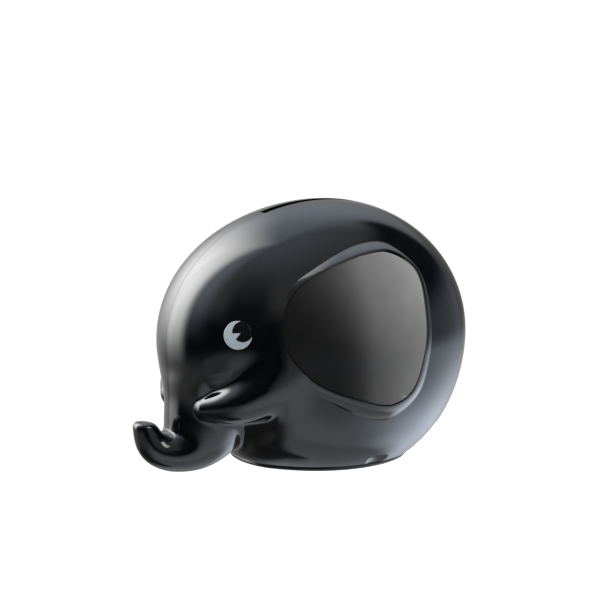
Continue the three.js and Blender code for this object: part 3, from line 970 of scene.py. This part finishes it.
plate_left = ear_plate()
combine(plate_left, merge("pegs", [ear_peg(x, z) for x, z in PEGS]), "UNION")
plate_right = mirrored(plate_left, "ear_plate_right")
white_left = eye_stack("white", circle(EYE["radius"], 96), (0, 0), EYE)
pupil_seat = pupil_outline(PUPIL["gap"])
pupil_floor = -PUPIL["depth"] - PUPIL["floor_gap"]
seat_rings = [on_eye(pupil_seat, height) for height in (pupil_floor, CUT_ABOVE)]
combine(white_left, loft("pupil_seat", seat_rings))
white_right = mirrored(white_left, "white_right")
pupil_middle = np.array([PUPIL["right"], PUPIL["up"]]) + PUPIL["middle"]
pupil_left = eye_stack("pupil", pupil_outline(0), pupil_middle, PUPIL)
pupil_right = mirrored(pupil_left, "pupil_right")
cover = base_cover()

for obj in (shell_left, shell_right):
    finish_mesh(obj, SHARP_SHELL, skin)
for obj in (plate_left, plate_right, white_left, white_right, pupil_left, pupil_right, cover):
    finish_mesh(obj, SHARP)
for obj, node, slot in (
    (shell_left, "shell_left", "gloss_shell"),
    (shell_right, "shell_right", "gloss_shell"),
    (plate_left, "ear_panel_left", "matt_ear"),
    (plate_right, "ear_panel_right", "matt_ear"),
    (white_left, "eye_white_left", "eye_white"),
    (white_right, "eye_white_right", "eye_white"),
    (pupil_left, "eye_pupil_left", "eye_pupil"),
    (pupil_right, "eye_pupil_right", "eye_pupil"),
):
    dress(obj, node, "elephant", slot)
dress(cover, "base_cover", "cover", "base_cover")

# ---------------------------------------------------------------- camera
CAMERA_AZIMUTH = 30  # degrees from straight onto the left side, towards the face
CAMERA_ELEVATION = 11
CAMERA_DISTANCE = 1200
CAMERA_PIVOT = (0, 0, 55)
FOCAL_LENGTH = 162.5
SHIFT = (-0.0267, 0.0503)

azimuth, elevation = math.radians(CAMERA_AZIMUTH), math.radians(CAMERA_ELEVATION)
back = Vector((
    -math.sin(azimuth) * math.cos(elevation),
    -math.cos(azimuth) * math.cos(elevation),
    math.sin(elevation),
))
camera_data = bpy.data.cameras.new("camera")
camera_data.sensor_width = 36
camera_data.lens = FOCAL_LENGTH
camera_data.shift_x, camera_data.shift_y = SHIFT
camera = placed("camera", camera_data)
camera.rotation_mode = "QUATERNION"
camera.rotation_quaternion = (-back).to_track_quat("-Z", "Y")
camera.location = (Vector(CAMERA_PIVOT) + back * CAMERA_DISTANCE) * MM
bpy.context.scene.camera = camera

# ---------------------------------------------------------------- floor
FLOOR = {"radius": 80, "thickness": 3, "tone": 0.25, "roughness": 0.6}
FLOOR_PAINTED_LIGHT = (-0.02, 0.06, 1.1, 3.5)  # painted light on the floor, a painted pool of light that glows brighter towards the elephant's rear (+X): two x in metres, and the glow up to the first and past the second

floor_profile = ((0, FLOOR["radius"]), (FLOOR["thickness"], FLOOR["radius"]))
floor = turned_rod("floor", (0, 0, -FLOOR["thickness"]), (0, 0, 1), floor_profile, 96)
floor.data.transform(Matrix.Scale(MM, 4))
floor_material = bpy.data.materials.new("floor")
floor_material.use_nodes = True
f = Nodes(floor_material.node_tree)
floor_shader = floor_material.node_tree.nodes["Principled BSDF"]
floor_shader.inputs["Base Color"].default_value = (FLOOR["tone"],) * 3 + (1,)
floor_shader.inputs["Roughness"].default_value = FLOOR["roughness"]
floor_shader.inputs["Emission Color"].default_value = (1, 1, 1, 1)
floor_place = f.add("ShaderNodeTexCoord").outputs["Object"]
floor_x = f.add("ShaderNodeSeparateXYZ", {"Vector": floor_place}).outputs["X"]
# The floor's emission is painted light: it is brighter towards the elephant's rear, a painted pool of
# light.
f.tree.links.new(f.ramp(floor_x, *FLOOR_PAINTED_LIGHT), floor_shader.inputs["Emission Strength"])
floor.data.materials.append(floor_material)
floor.visible_glossy = False  # the studio below gives the reflections of the ground

# ---------------------------------------------------------------- light
# The studio as a sky, painted in order: azimuth and its half width and softness, elevation
# and its half height and softness (degrees), radiance and tint.
COOL, FAINT, NEUTRAL = (0.88, 0.98, 1.14), (0.95, 0.98, 1.07), (1, 1, 1)
STUDIO = (
    ("overhead", 0, 360, 1, 90, 22, 19, 1.1, COOL),
    ("back_right_wall", 55, 34, 22, 65, 29, 22, 1.9, COOL),
    ("front_dark", -155, 54, 11, 2, 22, 12, 0.015, NEUTRAL),
    ("key", -63, 25, 3.5, 41, 8, 2, 9, NEUTRAL),
    ("right_dim", -1, 27, 3, 14, 30, 6, 0.45, COOL),
    ("right_dark", -2, 26, 4, 29, 20, 8, 0.03, COOL),
    ("right_glow", -17, 42, 35, -33, 16, 11, 4.9, COOL),
    ("front_floor", -98, 47, 35, -45, 21, 15, 1.65, FAINT),
    ("floor_below", 0, 360, 1, -90, 36, 7, 1.2, FAINT),
    ("left_floor", 140, 48, 30, -62, 30, 10, 0.1, NEUTRAL),
    ("side_box_wide", 116, 16, 35, 40, 29, 30, 16, NEUTRAL),
    ("side_box", 137, 15.5, 9, 34, 28, 30, 14, NEUTRAL),
    ("top_left", 164, 12.5, 16, 50, 30, 26, 2.3, COOL),
    ("upper_front", -137, 21, 9.5, 26.5, 22, 24, 0.05, COOL),
    ("right_edge", 36, 14, 6, 2, 13, 5, 0.25, NEUTRAL),
    ("cheek_window", -160, 12, 3, -26, 8, 2, 0.5, FAINT),
)
STUDIO_BASE = 0.5  # radiance where nothing is painted
STUDIO_LEVEL = 0.86
BACKDROP = 1.05  # what the camera sees behind the elephant

world = bpy.data.worlds.new("studio")
bpy.context.scene.world = world
world.use_nodes = True
world.node_tree.nodes.clear()
w = Nodes(world.node_tree)
heading = w.add("ShaderNodeTexCoord").outputs["Generated"]
parts = w.add("ShaderNodeSeparateXYZ", {"Vector": heading}).outputs
sky_azimuth = w.math("DEGREES", w.math("ARCTAN2", parts["Y"], parts["X"]))
sky_elevation = w.math("DEGREES", w.math("ARCSINE", parts["Z"]))
light = (STUDIO_BASE,) * 3 + (1,)
for _, middle, half, soft, up, half_up, soft_up, radiance, tint in STUDIO:
    aside = w.math("WRAP", w.math("SUBTRACT", sky_azimuth, middle), 180.0, -180.0)
    across = w.math("ABSOLUTE", aside)
    above = w.math("ABSOLUTE", w.math("SUBTRACT", sky_elevation, up))
    inside_across = w.ramp(across, half - soft, half + soft, 1.0, 0.0)
    inside_above = w.ramp(above, half_up - soft_up, half_up + soft_up, 1.0, 0.0)
    window = w.math("MULTIPLY", inside_across, inside_above)
    colour = [STUDIO_LEVEL * radiance * channel for channel in tint]
    light = w.mix_colour(window, light, (*colour, 1))
seen = w.add("ShaderNodeLightPath").outputs["Is Camera Ray"]
light = w.mix_colour(seen, light, (BACKDROP, BACKDROP, BACKDROP, 1))
background = w.add("ShaderNodeBackground", {"Color": light, "Strength": 1.0})
w.add("ShaderNodeOutputWorld", {"Surface": background.outputs[0]})

# A soft lamp behind the elephant gives the matt ears their slow change from dark to light. It
# lights nothing else, as the glossy pieces only mirror the studio. Degrees, and W per square metre.
EAR_LAMP = {"azimuth": -4, "elevation": 22, "strength": 250, "spread": 30}

lamp = bpy.data.lights.new("ear_lamp", "SUN")
lamp.energy = EAR_LAMP["strength"]
lamp.angle = math.radians(EAR_LAMP["spread"])
lamp.use_shadow = False
ear_lamp = placed("ear_lamp", lamp)
ear_lamp.rotation_euler = (
    math.radians(90 - EAR_LAMP["elevation"]), 0, math.radians(90 + EAR_LAMP["azimuth"])
)
ear_lamp.visible_glossy = False
lit = bpy.data.collections.new("lit_by_ear_lamp")
for side_name in ("left", "right"):
    lit.objects.link(bpy.data.objects[f"ear_panel_{side_name}_skin"])
ear_lamp.light_linking.receiver_collection = lit

scene = bpy.context.scene
scene.view_settings.view_transform = "Standard"
scene.view_settings.look = "None"
